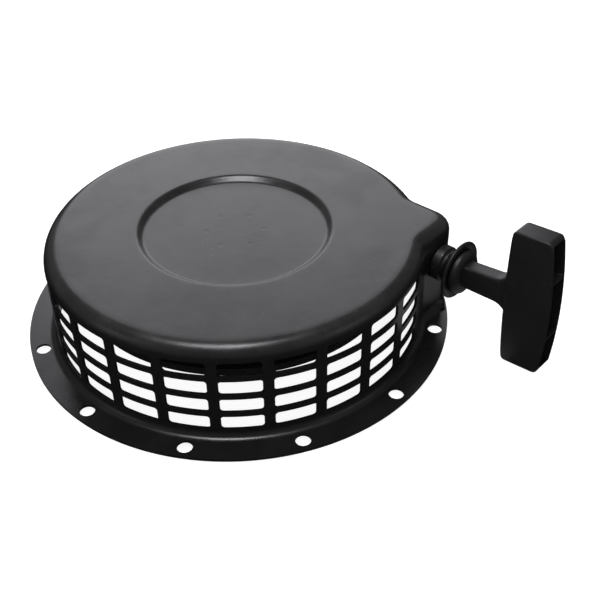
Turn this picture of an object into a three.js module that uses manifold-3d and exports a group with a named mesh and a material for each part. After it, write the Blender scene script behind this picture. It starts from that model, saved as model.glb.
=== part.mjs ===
// Recoil starter for a large air-cooled engine.
// Millimetres, +Z up. Origin: reel axis where it meets the flange's seating plane.
// +X is the direction the rope is pulled; the rope leaves the reel at +Y, so pulling turns the
// reel clockwise seen from above. The engine lies below z = 0.
import * as THREE from "three";
import { mergeVertices } from "three/addons/utils/BufferGeometryUtils.js";
import Module from "manifold-3d";

const wasm = await Module();
wasm.setup();

// ---- driving dimensions ----
const SHEET = 1.6; // housing steel
const FLANGE_R = 132.5;
const DRUM_R = 115;
const HEIGHT = 63.5;
const TOP_FILLET = 8.5;
const FOOT_FILLET = 4.5;
const RECESS_DEPTH = 3;
const RECESS_FLOOR_R = 55.6;
const RECESS_RIM_R = 58.6;

const BOLT_CIRCLE_R = 125;
const BOLT_HOLES = 12;
const BOLT_HOLE_R = 4.5;
const LOCATING_HOLE_R = 1.25;
const LOCATING_HOLE_ANGLE = 21;

const SLOT_PITCH = 15; // degrees between columns of cooling slots
const SLOT_WIDTH = 24;
const SLOT_HEIGHT = 9.3;
const SLOT_CORNER = 2.2;
const SLOT_ROWS = 4;
const SLOT_ROW_PITCH = 12.8;
const SLOT_TOP_ROW = 50; // height of the top row's centre line
const NOSE_FIRST_COLUMN = 30; // columns from here ...
const NOSE_LAST_COLUMN = 60; // ... to here are left out for the nose

const NOSE_FACE = 97; // distance of both nose walls from the reel axis
const NOSE_CORNER = 14;
const NOSE_BLEND = 12; // hollow radius where the nose leaves the drum

const ROPE_R = 2.9;
const ROPE_Y = 78.5; // outermost turn on the full reel
const ROPE_Z = 39.5;
const ROPE_LAYERS = 4; // rope side by side between core and outermost turn
const ROPE_TURN_STEP = 5.8;

const REEL_R = 97.5;
const REEL_CORE_R = 58;
const REEL_BOTTOM = 31.5;
const REEL_TOP = 47;
const WEB_BOTTOM = 34.9;
const WEB_TOP = 38.9;
const REEL_POCKET_R = 53.6;

const POST_R = 9;
const POST_TIP_R = 7;
const SPRING_HUB_R = 10.5;

const PAWL_PIVOT_R = 35;
const PAWL_SWING = 20; // degrees, folded to fully out
const GUIDE_SWING = 30; // degrees the ratchet guide lags to throw the pawls
const PAWL_FOLLOWER = [14, -6.5]; // follower pin from the pawl's pivot

const GRIP_X = 148.5; // palm side of the grip's ends
const GRIP_DEPTH = 25;
const GRIP_LENGTH = 90;
const GRIP_THICK = 15;
const GRIP_RIB = 19; // ribs this far above and below the rope
const SEAT_X = 121; // point of the rope's line that the handle tips about in its seat
const HANDLE_TIP = 3.2; // degrees the seated handle points up
const HANDLE_ROLL = -1.8; // degrees it is turned on the rope

const GAP = 0.3; // clearance between pieces that touch on the real starter
const FINE = 48; // facets of the housing
const ROUND = 28; // facets of other round pieces
const SMALL = 16; // facets of small round pieces
const FULL = 2 * Math.PI;

// ---- materials ----
const steelPaint = { color: 0x1c1c1e, roughness: 0.42, metalness: 0.35 };
const blackPlastic = { color: 0x121213, roughness: 0.5, metalness: 0 };
const reelPlastic = { color: 0x1a1a1c, roughness: 0.6, metalness: 0 };
const zincSteel = { color: 0xa9a8a0, roughness: 0.35, metalness: 0.9 };
const springSteel = { color: 0x5d6066, roughness: 0.35, metalness: 0.9 };
const bronze = { color: 0x9a7440, roughness: 0.4, metalness: 0.9 };
const ropeFibre = { color: 0x27272a, roughness: 0.85, metalness: 0 };

// ---- helpers ----
const rad = (degrees) => (degrees * Math.PI) / 180;
const polar = (r, degrees) => [r * Math.cos(rad(degrees)), r * Math.sin(rad(degrees))];

// A closed three.js geometry as a solid that can be cut and joined.
function solid(geometry) {
  const bare = geometry.clone();
  bare.deleteAttribute("normal");
  bare.deleteAttribute("uv");
  const merged = mergeVertices(bare, 1e-4);
  const index = merged.index.array;
  const kept = [];
  for (let i = 0; i < index.length; i += 3) {
    const [a, b, c] = [index[i], index[i + 1], index[i + 2]];
    if (a !== b && b !== c && c !== a) kept.push(a, b, c);
  }
  const vertProperties = new Float32Array(merged.attributes.position.array);
  const triVerts = new Uint32Array(kept);
  return new wasm.Manifold(new wasm.Mesh({ numProp: 3, vertProperties, triVerts }));
}

// Points of an arc in a profile, angles in degrees.
function arc(cx, cy, r, from, to, steps) {
  const points = [];
  for (let i = 0; i <= steps; i += 1) {
    const [dx, dy] = polar(r, from + ((to - from) * i) / steps);
    points.push([cx + dx, cy + dy]);
  }
  return points;
}

// Turned piece about +Z. The [radius, height] outline runs anticlockwise.
function turned(outline, facets = ROUND) {
  const points = outline.map(([r, z]) => new THREE.Vector2(r, z));
  if (outline[0][0] > 0) points.push(points[0].clone());
  return solid(new THREE.LatheGeometry(points, facets).rotateX(Math.PI / 2));
}

// Turned piece about the rope's line. The outline is [radius, x].
function turnedOnRope(outline, facets = ROUND) {
  const points = outline.map(([r, x]) => new THREE.Vector2(r, x));
  if (outline[0][0] > 0) points.push(points[0].clone());
  const geometry = new THREE.LatheGeometry(points, facets).rotateZ(-Math.PI / 2);
  return solid(geometry.translate(0, ROPE_Y, ROPE_Z));
}

// Round bar from z0 to z1.
function bar(r, z0, z1, x = 0, y = 0, facets = SMALL) {
  const geometry = new THREE.CylinderGeometry(r, r, z1 - z0, facets).rotateX(Math.PI / 2);
  return solid(geometry.translate(x, y, (z0 + z1) / 2));
}

// Round bar along the rope's line from x0 to x1.
function barOnRope(r, x0, x1, facets = SMALL) {
  const geometry = new THREE.CylinderGeometry(r, r, x1 - x0, facets).rotateZ(-Math.PI / 2);
  return solid(geometry.translate((x0 + x1) / 2, ROPE_Y, ROPE_Z));
}

function block(x0, x1, y0, y1, z0, z1) {
  const geometry = new THREE.BoxGeometry(x1 - x0, y1 - y0, z1 - z0);
  return solid(geometry.translate((x0 + x1) / 2, (y0 + y1) / 2, (z0 + z1) / 2));
}

// Flat plate: an outline in the XY plane raised from z0 to z1, its edges rounded by `edge`.
function plate(outline, z0, z1, edge = 0, edgeSteps = 2) {
  const shape = new THREE.Shape(outline.map(([x, y]) => new THREE.Vector2(x, y)));
  const options = {
    depth: z1 - z0 - 2 * edge,
    bevelEnabled: edge > 0,
    bevelThickness: edge,
    bevelSize: edge,
    bevelOffset: -edge,
    bevelSegments: edgeSteps,
  };
  return solid(new THREE.ExtrudeGeometry(shape, options).translate(0, 0, z0 + edge));
}

// Plate standing in the plane of the rope and the grip: outline is [x, height over the rope].
function uprightPlate(outline, thickness, edge, edgeSteps = 2) {
  const shape = new THREE.Shape(outline.map(([x, z]) => new THREE.Vector2(x, z)));
  const options = {
    depth: thickness - 2 * edge,
    bevelEnabled: edge > 0,
    bevelThickness: edge,
    bevelSize: edge,
    bevelOffset: -edge,
    bevelSegments: edgeSteps,
  };
  const geometry = new THREE.ExtrudeGeometry(shape, options);
  geometry.translate(0, 0, edge - thickness / 2).rotateX(Math.PI / 2);
  return solid(geometry.translate(0, ROPE_Y, ROPE_Z));
}

// Wire of round section along a list of points.
function wire(points, r, steps, sides = 8) {
  const curve = new THREE.CatmullRomCurve3(points.map((p) => new THREE.Vector3(...p)));
  const section = new THREE.Shape().absarc(0, 0, r, 0, FULL, false);
  const options = { steps, curveSegments: sides / 2, extrudePath: curve };
  return solid(new THREE.ExtrudeGeometry(section, options));
}

const join = (solids) => solids.reduce((all, next) => all.add(next));
const turn = (body, degrees) => body.rotate([0, 0, degrees]);

const starter = new THREE.Group();

function piece(name, body, finish) {
  const { numProp, vertProperties, triVerts } = body.getMesh();
  const positions = new Float32Array((vertProperties.length / numProp) * 3);
  for (let i = 0; i < positions.length / 3; i += 1) {
    positions.set(vertProperties.subarray(i * numProp, i * numProp + 3), i * 3);
  }
  const geometry = new THREE.BufferGeometry();
  geometry.setAttribute("position", new THREE.BufferAttribute(positions, 3));
  geometry.setIndex(new THREE.BufferAttribute(new Uint32Array(triVerts), 1));
  geometry.computeVertexNormals();
  const mesh = new THREE.Mesh(geometry, new THREE.MeshStandardMaterial(finish));
  mesh.name = name;
  starter.add(mesh);
}

// ---- housing: pressed steel drum, nose and flange ----

// Section of the drum as a full solid; `inset` moves every face inwards by the sheet.
function drumProfile(inset) {
  const top = HEIGHT - inset;
  const floor = HEIGHT - RECESS_DEPTH - inset;
  const wall = DRUM_R - inset;
  const shoulder = DRUM_R - TOP_FILLET;
  const shoulderZ = HEIGHT - TOP_FILLET;
  const footX = DRUM_R + FOOT_FILLET;
  const footZ = SHEET + FOOT_FILLET;
  const bottom = inset > 0 ? -1 : 0;
  const rim = inset > 0 ? footX : FLANGE_R;
  return [
    [0, bottom],
    [rim, bottom],
    [rim, SHEET - inset],
    ...arc(footX, footZ, FOOT_FILLET + inset, 270, 180, 2),
    [wall, shoulderZ],
    ...arc(shoulder, shoulderZ, TOP_FILLET - inset, 0, 90, 3).slice(1),
    [RECESS_RIM_R, top],
    [RECESS_FLOOR_R, floor],
    [0, floor],
  ].filter(([r, z], i, all) => i === 0 || r !== all[i - 1][0] || z !== all[i - 1][1]);
}

// Plan of the nose: two walls at right angles with a rounded corner, blended into the drum.
function noseOutline(inset) {
  const face = NOSE_FACE - inset;
  const drum = DRUM_R - inset;
  const blend = NOSE_BLEND + inset;
  const cx = face + blend;
  const cy = Math.sqrt((drum + blend) ** 2 - cx ** 2);
  const touch = (Math.atan2(cy, cx) * 180) / Math.PI;
  const near = [polar(drum - 2, touch - 16), ...arc(cx, cy, blend, 180 + touch, 180, 3)];
  const corner = NOSE_FACE - NOSE_CORNER;
  const far = near.map(([x, y]) => [y, x]).reverse();
  return [[50, 50], ...near, ...arc(corner, corner, NOSE_CORNER - inset, 0, 90, 5), ...far];
}

// The nose as a full solid from z0 up, its top edge rounded like the drum's.
function noseBody(inset, z0) {
  const edge = TOP_FILLET - inset;
  const tall = plate(noseOutline(inset), z0 - 20, HEIGHT - inset, edge, 3);
  return tall.subtract(block(0, 150, 0, 150, -60, z0));
}

// Sloping foot where the nose's walls run out into the flange.
function noseFoot() {
  const steps = 3;
  const rings = [];
  for (let i = 0; i < steps; i += 1) {
    const [, down] = polar(FOOT_FILLET, 270 - (90 * i) / steps);
    const [out] = polar(FOOT_FILLET, 270 - (90 * (i + 0.5)) / steps);
    const [, up] = polar(FOOT_FILLET, 270 - (90 * (i + 1)) / steps);
    const z0 = SHEET + FOOT_FILLET + down;
    rings.push(plate(noseOutline(-FOOT_FILLET - out), z0 - 0.2, SHEET + FOOT_FILLET + up));
  }
  return join(rings).intersect(bar(FLANGE_R, 0, 30, 0, 0, FINE));
}

function slotCutter(angle, z) {
  const w = SLOT_WIDTH / 2 - SLOT_CORNER;
  const h = SLOT_HEIGHT / 2 - SLOT_CORNER;
  const outline = [
    ...arc(w, h, SLOT_CORNER, 0, 90, 1),
    ...arc(-w, h, SLOT_CORNER, 90, 180, 1),
    ...arc(-w, -h, SLOT_CORNER, 180, 270, 1),
    ...arc(w, -h, SLOT_CORNER, 270, 360, 1),
  ];
  return plate(outline, DRUM_R - 6, DRUM_R + 4).rotate([90, 0, 90]).translate([0, 0, z]).rotate([0, 0, angle]);
}

function housing() {
  let shell = turned(drumProfile(0), FINE).add(noseBody(0, 0.5)).add(noseFoot());
  shell = shell.subtract(turned(drumProfile(SHEET), FINE)).subtract(noseBody(SHEET, -5));
  const cuts = [];
  for (let angle = 0; angle < 360; angle += SLOT_PITCH) {
    if (angle >= NOSE_FIRST_COLUMN && angle <= NOSE_LAST_COLUMN) continue;
    for (let row = 0; row < SLOT_ROWS; row += 1) {
      cuts.push(slotCutter(angle, SLOT_TOP_ROW - row * SLOT_ROW_PITCH));
    }
  }
  for (let i = 0; i < BOLT_HOLES; i += 1) {
    cuts.push(bar(BOLT_HOLE_R, -2, SHEET + 2, ...polar(BOLT_CIRCLE_R, (i * 360) / BOLT_HOLES), 16));
  }
  const locating = polar(BOLT_CIRCLE_R, LOCATING_HOLE_ANGLE);
  cuts.push(bar(LOCATING_HOLE_R, -2, SHEET + 2, ...locating, 8));
  cuts.push(barOnRope(9.3, NOSE_FACE - 8, NOSE_FACE + 4, 24));
  return shell.subtract(join(cuts));
}

// ---- fixed pieces inside the housing ----

const RECESS_UNDERSIDE = HEIGHT - RECESS_DEPTH - SHEET;
const PLATE_TOP = RECESS_UNDERSIDE - GAP;
const PLATE_BOTTOM = PLATE_TOP - 2.5;

function postPlate() {
  return turned([[6.3, PLATE_BOTTOM], [24, PLATE_BOTTOM], [24, PLATE_TOP], [6.3, PLATE_TOP]]);
}

// Fixed post: riveted head, shoulder, slotted hub for the spring, journal and threaded tip.
function reelPost() {
  const body = turned([
    [0, 42],
    [3.5, 42],
    [3.5, 24.4],
    [POST_TIP_R, 24.4],
    [POST_TIP_R, 27.3],
    [POST_R, 27.3],
    [POST_R, 40.8],
    [SPRING_HUB_R, 40.8],
    [SPRING_HUB_R, 52.8],
    [12.5, 52.8],
    [12.5, PLATE_BOTTOM - GAP],
    [6, PLATE_BOTTOM - GAP],
    [6, PLATE_TOP],
    [0, PLATE_TOP],
  ]);
  return body.subtract(block(4.5, 14, -1.1, 1.1, 41, 52.5));
}

// Rope guide: barrel through the nose wall, collar, waist and a wide flared lip.
function ropeGuide() {
  return turnedOnRope([
    [4.2, 84.5],
    [9, 84.5],
    [9, NOSE_FACE + GAP],
    [11.2, NOSE_FACE + GAP],
    [11.2, 102.8],
    [9.8, 104],
    [9.8, 105],
    [11.8, 107.4],
    [15.6, 110.2],
    [18.5, 111],
    [18.5, 112.6],
    [15.2, 112.9],
    [7.6, 106.2],
    [4.2, 104],
  ]);
}

function guideClip() {
  const outer = NOSE_FACE - 4.5;
  return turnedOnRope([[9.3, outer - 3], [11.8, outer - 3], [11.8, outer], [9.3, outer]], 24);
}

// ---- reel and what turns with it ----

const PIVOTS = [90, 270];
const KNOT_ANGLE = 160;
const KNOT_R = 63;

function reel() {
  const body = turned([
    [11.4, 27.6],
    [19, 27.6],
    [19, WEB_BOTTOM],
    [49, WEB_BOTTOM],
    [49, REEL_BOTTOM],
    [REEL_R, REEL_BOTTOM],
    [REEL_R, 34.6],
    [REEL_CORE_R, 36],
    [REEL_CORE_R, 43],
    [REEL_R, 44.4],
    [REEL_R, REEL_TOP],
    [56.5, REEL_TOP],
    [56.5, 50],
    [REEL_POCKET_R, 50],
    [REEL_POCKET_R, WEB_TOP],
    [11.4, WEB_TOP],
  ], 40);
  const holes = PIVOTS.map((angle) => bar(2.8, 30, 42, ...polar(PAWL_PIVOT_R, angle), 16));
  holes.push(bar(3.5, 42, 50, ...polar(KNOT_R, KNOT_ANGLE), 16));
  return body.subtract(join(holes));
}

function reelBush() {
  return turned([[POST_R + 0.2, 27.9], [11.1, 27.9], [11.1, 38.6], [POST_R + 0.2, 38.6]]);
}

function thrustWasher() {
  return turned([[9.4, 39.3], [15.2, 39.3], [15.2, 40.4], [9.4, 40.4]]);
}

const CASE_R = 52.6;
const CASE_TOP = 53.4;

function springCase() {
  return turned([
    [15.8, 39.2],
    [CASE_R, 39.2],
    [CASE_R, CASE_TOP],
    [CASE_R - 1, CASE_TOP],
    [CASE_R - 1, 40.2],
    [15.8, 40.2],
  ], 36);
}

function springCover() {
  const low = CASE_TOP + GAP;
  return turned([[14, low], [CASE_R, low], [CASE_R, low + 0.9], [14, low + 0.9]], 36);
}

// Spiral strip: a hook in the post's slot, a quick run outwards, then close turns at the wall.
function rewindSpring() {
  const half = 0.4;
  const looseTurns = 1.5;
  const closeTurns = 3.5;
  const stepsPerTurn = 16;
  const middle = [[6.5, 0], [11.4, 0]];
  const total = (looseTurns + closeTurns) * stepsPerTurn;
  for (let i = 1; i <= total; i += 1) {
    const turns = i / stepsPerTurn;
    const loose = Math.min(turns, looseTurns) / looseTurns;
    const close = Math.max(turns - looseTurns, 0) / closeTurns;
    middle.push(polar(12 + 24 * loose + 14.2 * close, turns * 360));
  }
  const side = (offset) => middle.map(([x, y], i) => {
    const [px, py] = middle[Math.max(i - 1, 0)];
    const [nx, ny] = middle[Math.min(i + 1, middle.length - 1)];
    const length = Math.hypot(nx - px, ny - py);
    return [x + (offset * (ny - py)) / length, y - (offset * (nx - px)) / length];
  });
  return plate([...side(half), ...side(-half).reverse()], 41.3, 52.2);
}

function ropeWinding() {
  const inner = ROPE_Y - (ROPE_LAYERS - 1) * ROPE_TURN_STEP - ROPE_R;
  const outer = ROPE_Y + ROPE_R;
  return turned([
    [inner + GAP, ROPE_Z - ROPE_R],
    [outer, ROPE_Z - ROPE_R],
    [outer, ROPE_Z + ROPE_R],
    [inner + GAP, ROPE_Z + ROPE_R],
  ], 40);
}

function ropeReelKnot() {
  const [x, y] = polar(KNOT_R, KNOT_ANGLE);
  const knot = solid(new THREE.SphereGeometry(4.8, 14, 10).translate(x, y, 51.9));
  return knot.add(bar(ROPE_R, ROPE_Z + ROPE_R + GAP, 50, x, y, 12));
}

// ---- pawls and ratchet guide ----

// Folded pawl in the reel's frame for a pivot at +Y: boss, arm, hooked tip and follower pin.
function pawl() {
  const arm = [
    [-5.4, 0],
    ...arc(0, 0, 5.4, 180, 80, 4).slice(1),
    [12, 1.6],
    [22, -1.6],
    [26.2, -3.6],
    [25.2, -9.2],
    [21, -10.2],
    [12, -9.6],
    [4, -6.4],
    ...arc(0, 0, 5.4, 290, 200, 4),
  ];
  const [fx, fy] = PAWL_FOLLOWER;
  const body = plate(arm, 28.4, 34.5).add(bar(1.8, 24.6, 30, fx, fy, 14));
  const relief = bar(5.9, 31.5, 36, 0, 0, 20);
  return body.subtract(relief).subtract(bar(2.8, 20, 40, 0, 0, 16)).translate([0, PAWL_PIVOT_R, 0]);
}

function pawlPin() {
  return bar(2.5, 27.6, 38.6, 0, PAWL_PIVOT_R, 16).add(bar(3.9, 27.5, 28.1, 0, PAWL_PIVOT_R, 16));
}

// Two turns of wire round the pin, with one leg laid back over the boss.
function pawlSpring() {
  const coil = turned([[3.1, 31.9], [4.5, 31.9], [4.5, 34.4], [3.1, 34.4]], 16);
  const leg = wire([[-3.8, -1, 33.6], [-7, -3, 33.6], [-11.5, -7, 33.6]], 0.55, 4);
  return coil.add(leg).translate([0, PAWL_PIVOT_R, 0]);
}

// Where a pawl's follower pin stands over the ratchet guide, once the guide has lagged by `lag`.
function followerPath(lag) {
  const swing = rad((lag * PAWL_SWING) / GUIDE_SWING);
  const [fx, fy] = PAWL_FOLLOWER;
  const x = fx * Math.cos(swing) - fy * Math.sin(swing);
  const y = fx * Math.sin(swing) + fy * Math.cos(swing) + PAWL_PIVOT_R;
  const back = rad(-lag);
  return [x * Math.cos(back) - y * Math.sin(back), x * Math.sin(back) + y * Math.cos(back)];
}

function ratchetGuide() {
  const disc = turned([
    [7.25, 25],
    [9.8, 25],
    [9.8, 21.2],
    [11.8, 21.2],
    [11.8, 25],
    [43, 25],
    [43, 27],
    [7.25, 27],
  ], 36);
  const steps = 4;
  const cam = [];
  for (let i = 0; i <= steps; i += 1) {
    cam.push(bar(2.4, 23, 29, ...followerPath((GUIDE_SWING * i) / steps), 10));
  }
  const spans = [];
  for (let i = 0; i < steps; i += 1) {
    spans.push(wasm.Manifold.hull([cam[i], cam[i + 1]]));
  }
  const slot = join(spans);
  const sides = PIVOTS.map((angle) => {
    const window = plate([[-11, 17], [11, 17], [8, 34], [-8, 34]], 23, 29);
    return turn(window, angle);
  });
  return disc.subtract(join([slot, turn(slot, 180), ...sides]));
}

function frictionSpring() {
  const points = arc(0, 0, 12.9, 20, 330, 12).map(([x, y]) => [x, y, 23.2]);
  return wire(points, 0.7, 20, 6);
}

function frictionWasher() {
  return turned([[4.3, 22.6], [9.4, 22.6], [9.4, 24.1], [4.3, 24.1]], 32);
}

function centreBolt() {
  return bar(7.5, 17.1, 22.3, 0, 0, 6).add(bar(3.2, 20, 41, 0, 0, 16));
}

// ---- rope end and handle ----

// A piece made on the rope's line, tipped and rolled as the handle sits in the guide.
function seated(body) {
  const centred = body.translate([-SEAT_X, -ROPE_Y, -ROPE_Z]);
  const tipped = centred.rotate([HANDLE_ROLL, 0, 0]).rotate([0, -HANDLE_TIP, 0]);
  return tipped.translate([SEAT_X, ROPE_Y, ROPE_Z]);
}

// Straight from the reel into the guide, then up the tipped handle to the knot.
function ropeLead() {
  const straight = [33, 62, 80, 96].map((x) => [x, ROPE_Y, ROPE_Z]);
  const inHandle = [106, 121, 140, 157.9].map((x) => {
    const [along, rise] = polar(x - SEAT_X, HANDLE_TIP);
    return [SEAT_X + along, ROPE_Y, ROPE_Z + rise];
  });
  return wire([...straight, [101, ROPE_Y, ROPE_Z - 0.45], ...inHandle], ROPE_R, 24, 10);
}

function knotWasher() {
  return turnedOnRope([[3.3, 156.3], [5, 156.3], [5, 157.6], [3.3, 157.6]], 20);
}

function ropeHandleKnot() {
  const ball = new THREE.SphereGeometry(4.9, 14, 10).translate(163.1, ROPE_Y, ROPE_Z);
  return solid(ball);
}

// T handle: bowed grip, hollow from behind with two ribs, flat stem and a round seating collar.
function grip() {
  const end = GRIP_LENGTH / 2;
  const corner = 3;
  const back = GRIP_X + GRIP_DEPTH;
  const bow = (x0, swell, from, to) => {
    const points = [];
    for (let i = 0; i <= 6; i += 1) {
      const z = from + ((to - from) * i) / 6;
      points.push([x0 + swell * (1 - (z / end) ** 2), z]);
    }
    return points;
  };
  const outline = [
    ...bow(back, 3.5, -end + corner, end - corner),
    ...arc(back - corner, end - corner, corner, 0, 90, 2).slice(1),
    ...arc(GRIP_X + corner, end - corner, corner, 90, 180, 2),
    ...bow(GRIP_X, -1.5, end - corner - 2, -end + corner + 2),
    ...arc(GRIP_X + corner, -end + corner, corner, 180, 270, 2),
    ...arc(back - corner, -end + corner, corner, 270, 360, 2).slice(0, -1),
  ];
  const body = uprightPlate(outline, GRIP_THICK, 2);
  const fillet = 10;
  const root = 8.2;
  const rootX = GRIP_X - fillet;
  const stem = uprightPlate([
    [113, -7.2],
    ...arc(rootX, -root - fillet, fillet, 90, 0, 4),
    [GRIP_X + 5, -root - fillet],
    [GRIP_X + 5, root + fillet],
    ...arc(rootX, root + fillet, fillet, 0, -90, 4),
    [113, 7.2],
  ], 10.8, 1.2, 1);
  const collar = turnedOnRope(
    [[0, 106.9], [7.4, 106.9], [13.6, 112.7], [13.6, 115.6], [12, 117.8], [0, 117.8]],
    32,
  );
  const wall = 2.3;
  const rib = 1.1;
  const half = GRIP_THICK / 2 - wall;
  const pockets = [[-end + wall + 0.8, -GRIP_RIB - rib], [-GRIP_RIB + rib, GRIP_RIB - rib]];
  pockets.push([GRIP_RIB + rib, end - wall - 0.8]);
  const cuts = pockets.map(([low, high]) =>
    block(156, 190, ROPE_Y - half, ROPE_Y + half, ROPE_Z + low, ROPE_Z + high));
  cuts.push(barOnRope(3.6, 100, 160, 16));
  return body.add(stem).add(collar).subtract(join(cuts));
}

// ---- assembly ----
piece("housing", housing(), steelPaint);
piece("post_plate", postPlate(), zincSteel);
piece("reel_post", reelPost(), zincSteel);
piece("rope_guide", ropeGuide(), blackPlastic);
piece("guide_clip", guideClip(), springSteel);
piece("reel", reel(), reelPlastic);
piece("reel_bush", reelBush(), bronze);
piece("thrust_washer", thrustWasher(), zincSteel);
piece("spring_case", springCase(), zincSteel);
piece("rewind_spring", rewindSpring(), springSteel);
piece("spring_cover", springCover(), zincSteel);
piece("rope_winding", ropeWinding(), ropeFibre);
piece("rope_reel_knot", ropeReelKnot(), ropeFibre);
["a", "b"].forEach((side, i) => {
  const spin = PIVOTS[i] - 90;
  piece(`pawl_${side}`, turn(pawl(), spin), zincSteel);
  piece(`pawl_pin_${side}`, turn(pawlPin(), spin), zincSteel);
  piece(`pawl_spring_${side}`, turn(pawlSpring(), spin), springSteel);
});
piece("ratchet_guide", ratchetGuide(), zincSteel);
piece("friction_spring", frictionSpring(), springSteel);
piece("friction_washer", frictionWasher(), zincSteel);
piece("centre_bolt", centreBolt(), zincSteel);
piece("rope_lead", ropeLead(), ropeFibre);
piece("knot_washer", seated(knotWasher()), zincSteel);
piece("rope_handle_knot", seated(ropeHandleKnot()), ropeFibre);
piece("grip", seated(grip()), blackPlastic);

export default starter;
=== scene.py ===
"""Recoil starter: the visible pieces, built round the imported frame.

Lengths are metres. +Z is away from the engine, +X the way the rope is pulled, and the reel's
axis is the Z axis. Each operator makes one piece or one group of like pieces.
"""

import math

import bmesh
import bpy
from bpy.props import FloatProperty, FloatVectorProperty, IntProperty, PointerProperty
from mathutils import Matrix, Vector


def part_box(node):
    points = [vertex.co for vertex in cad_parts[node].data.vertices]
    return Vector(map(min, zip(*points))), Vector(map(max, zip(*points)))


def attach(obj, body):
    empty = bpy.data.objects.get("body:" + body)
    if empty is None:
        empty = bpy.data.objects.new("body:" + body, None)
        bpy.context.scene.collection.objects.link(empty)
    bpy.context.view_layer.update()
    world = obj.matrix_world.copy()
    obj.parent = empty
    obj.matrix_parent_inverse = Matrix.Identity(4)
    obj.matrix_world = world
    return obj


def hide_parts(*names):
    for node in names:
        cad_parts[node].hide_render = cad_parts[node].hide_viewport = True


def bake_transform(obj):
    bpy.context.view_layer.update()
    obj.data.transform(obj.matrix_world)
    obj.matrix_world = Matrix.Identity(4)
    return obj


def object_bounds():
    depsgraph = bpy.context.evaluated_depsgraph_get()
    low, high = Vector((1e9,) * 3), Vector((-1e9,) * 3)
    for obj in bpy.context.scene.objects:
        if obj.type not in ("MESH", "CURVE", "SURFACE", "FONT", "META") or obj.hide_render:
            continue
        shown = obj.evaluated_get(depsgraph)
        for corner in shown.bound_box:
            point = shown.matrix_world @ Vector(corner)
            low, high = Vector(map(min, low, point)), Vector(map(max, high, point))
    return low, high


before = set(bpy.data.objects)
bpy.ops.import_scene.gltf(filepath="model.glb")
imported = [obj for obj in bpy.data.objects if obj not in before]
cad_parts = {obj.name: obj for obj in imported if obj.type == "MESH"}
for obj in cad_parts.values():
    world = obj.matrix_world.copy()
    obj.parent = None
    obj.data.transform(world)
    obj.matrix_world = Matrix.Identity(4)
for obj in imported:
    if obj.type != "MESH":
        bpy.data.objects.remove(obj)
CAD_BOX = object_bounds()

bl_info = {
    "name": "Recoil Starter",
    "version": (1, 0, 0),
    "blender": (4, 5, 0),
    "location": "View3D > Sidebar > Starter",
    "description": "Builds the pieces of a recoil starter round its frame",
    "category": "Object",
}

MM = 0.001
MERGE = 1e-6  # distance under which two points of a mesh are made one
FULL = 2 * math.pi
HOUSING_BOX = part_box("housing")
CLIP_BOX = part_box("guide_clip")  # the clip is centred on the rope's line
ROPE_Y = (CLIP_BOX[0][1] + CLIP_BOX[1][1]) / 2
ROPE_Z = (CLIP_BOX[0][2] + CLIP_BOX[1][2]) / 2


def length(name, default, description):
    """A length property whose default is given in millimetres."""
    return FloatProperty(
        name=name, description=description, default=default * MM, min=0, unit="LENGTH", precision=5
    )


def angle(name, default, description):
    """An angle property whose default is given in degrees."""
    return FloatProperty(
        name=name, description=description, default=math.radians(default), unit="ROTATION"
    )


def colour(name, default, description):
    """A colour property."""
    return FloatVectorProperty(
        name=name, description=description, default=default, size=4, min=0, max=1, subtype="COLOR"
    )


class HousingSizes(bpy.types.PropertyGroup):
    """The pressed drum, its flange and its nose."""

    flange: length("Flange radius", HOUSING_BOX[1][0] / MM, "Radius of the flange's edge")
    drum: length("Drum radius", 115, "Radius of the slotted wall")
    height: length("Height", HOUSING_BOX[1][2] / MM, "Height of the top face over the seat")
    sheet: length("Sheet", 1.6, "Thickness of the pressed steel")
    top_fillet: length("Top fillet", 8.5, "Radius between wall and top face")
    foot_fillet: length("Foot fillet", 4.5, "Radius between wall and flange")
    recess: length("Recess radius", 57.4, "Radius halfway down the recess's side")
    recess_depth: length("Recess depth", 3, "Depth of the round recess in the top face")
    slot_width: length("Slot width", 24, "Length of a cooling slot round the drum")
    slot_height: length("Slot height", 9.3, "Height of a cooling slot")
    slot_corner: length("Slot corner", 1.8, "Corner radius of a cooling slot")
    slot_top: length("Top row", 50, "Height of the top row's centre line")
    slot_pitch: length("Row pitch", 12.8, "Distance between rows of slots")
    bolt_circle: length("Bolt circle radius", 125, "Radius on which the screw holes stand")
    bolt_hole: length("Screw hole radius", 4.5, "Radius of a screw hole")
    nose_face: length("Nose face", 97, "Distance of the nose's walls from the reel's axis")
    nose_corner: length("Nose corner", 14, "Corner radius of the nose")
    nose_blend: length("Nose blend", 12, "Hollow radius between nose and drum")


class RopeSizes(bpy.types.PropertyGroup):
    """The starter rope."""

    radius: length("Rope radius", 2.9, "Half the rope's diameter")
    outer_turn: length("Outer turn", ROPE_Y / MM, "Radius of the outermost turn")
    step: length("Turn step", 5.8, "Distance between neighbouring turns")
    turns: IntProperty(name="Turns", description="Turns on the full reel", default=3, min=1, max=3)


class GripSizes(bpy.types.PropertyGroup):
    """The T-handle."""

    palm: length("Palm side", 148.5, "Distance of the palm side from the reel's axis")
    depth: length("Depth", 25, "Size along the rope at the grip's ends")
    long: length("Length", 90, "Size across the rope")
    thick: length("Thickness", 15, "Size between the two flat sides")
    wall: length("Wall", 1.6, "Wall round the moulding's pockets")
    rib: length("Rib place", 19, "Distance of the two ribs from the rope")
    seat: length("Seat", 121, "Place on the rope's line that the handle tips about")
    tip: angle("Tip", 3.2, "How far the seated handle points up")
    roll: angle("Roll", -1.8, "How far the handle is turned on the rope")


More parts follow.
